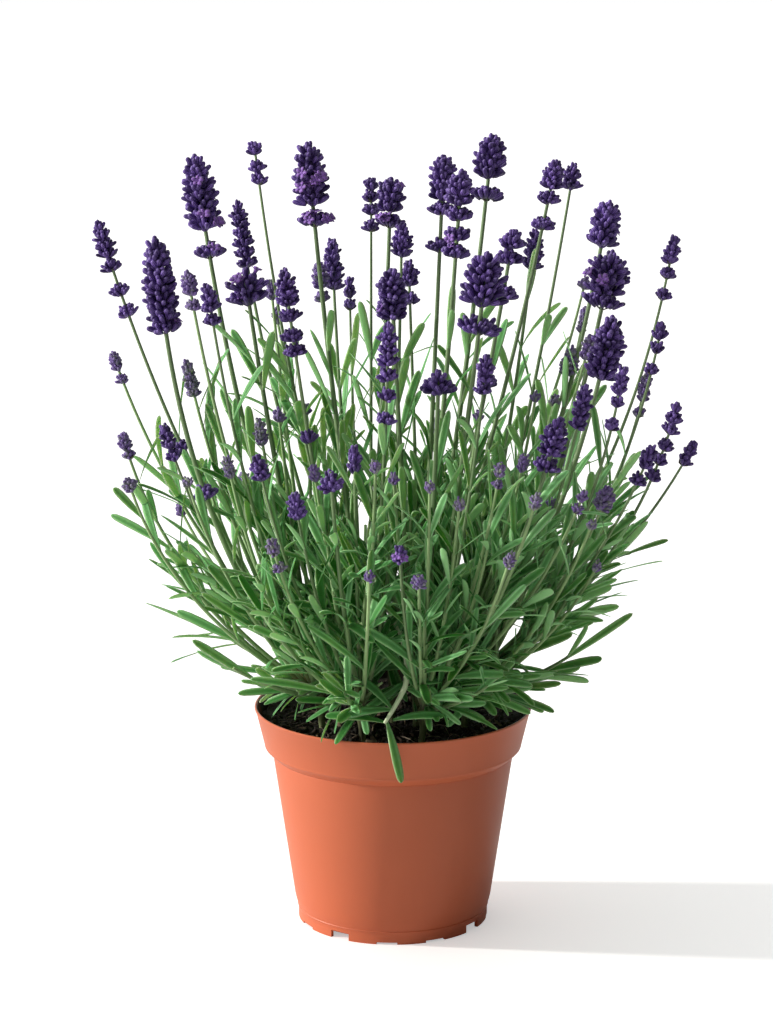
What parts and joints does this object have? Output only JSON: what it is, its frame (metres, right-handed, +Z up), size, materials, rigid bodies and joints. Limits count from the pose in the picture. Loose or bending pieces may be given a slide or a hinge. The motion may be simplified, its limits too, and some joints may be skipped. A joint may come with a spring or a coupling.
{
  "type": "potted lavender",
  "caption": "Flowering lavender in a round tapered nursery pot: narrow leaves, long square stalks and dense violet flower spikes.",
  "frame": {"origin": "where the pot's axis meets the surface that it stands on, which is the bottom centre of the overall box", "axes": "+Z up along the pot's axis, -Y towards the viewer of the picture, +X to the viewer's right"},
  "size_m": [0.2804, 0.241, 0.3657],
  "materials": {
    "pot": "satin",
    "soil": "matte",
    "shoot": "matte",
    "spike": "matte"
  },
  "bodies": {
    "root": {"pot": "pot", "soil": "soil", "shoot_01": "shoot", "shoot_02": "shoot", "shoot_03": "shoot", "shoot_04": "shoot", "shoot_05": "shoot", "shoot_06": "shoot", "shoot_07": "shoot", "shoot_08": "shoot", "shoot_09": "shoot", "shoot_10": "shoot", "shoot_11": "shoot", "shoot_12": "shoot", "shoot_13": "shoot", "spike_01": "spike", "spike_02": "spike", "spike_03": "spike", "spike_04": "spike", "spike_05": "spike", "spike_06": "spike", "spike_07": "spike", "spike_08": "spike", "spike_09": "spike", "spike_10": "spike", "spike_11": "spike", "spike_12": "spike", "spike_13": "spike", "spike_14": "spike", "spike_15": "spike", "spike_16": "spike", "spike_17": "spike", "spike_18": "spike", "spike_19": "spike", "spike_20": "spike", "spike_21": "spike", "spike_22": "spike", "spike_23": "spike", "spike_24": "spike", "spike_25": "spike", "spike_26": "spike", "spike_27": "spike", "spike_28": "spike", "spike_29": "spike", "spike_30": "spike", "spike_31": "spike", "spike_32": "spike", "spike_33": "spike", "spike_34": "spike", "spike_35": "spike", "spike_36": "spike", "spike_37": "spike", "spike_38": "spike", "spike_39": "spike", "spike_40": "spike", "spike_41": "spike", "spike_42": "spike", "spike_43": "spike", "spike_44": "spike"}
  },
  "joints": []
}
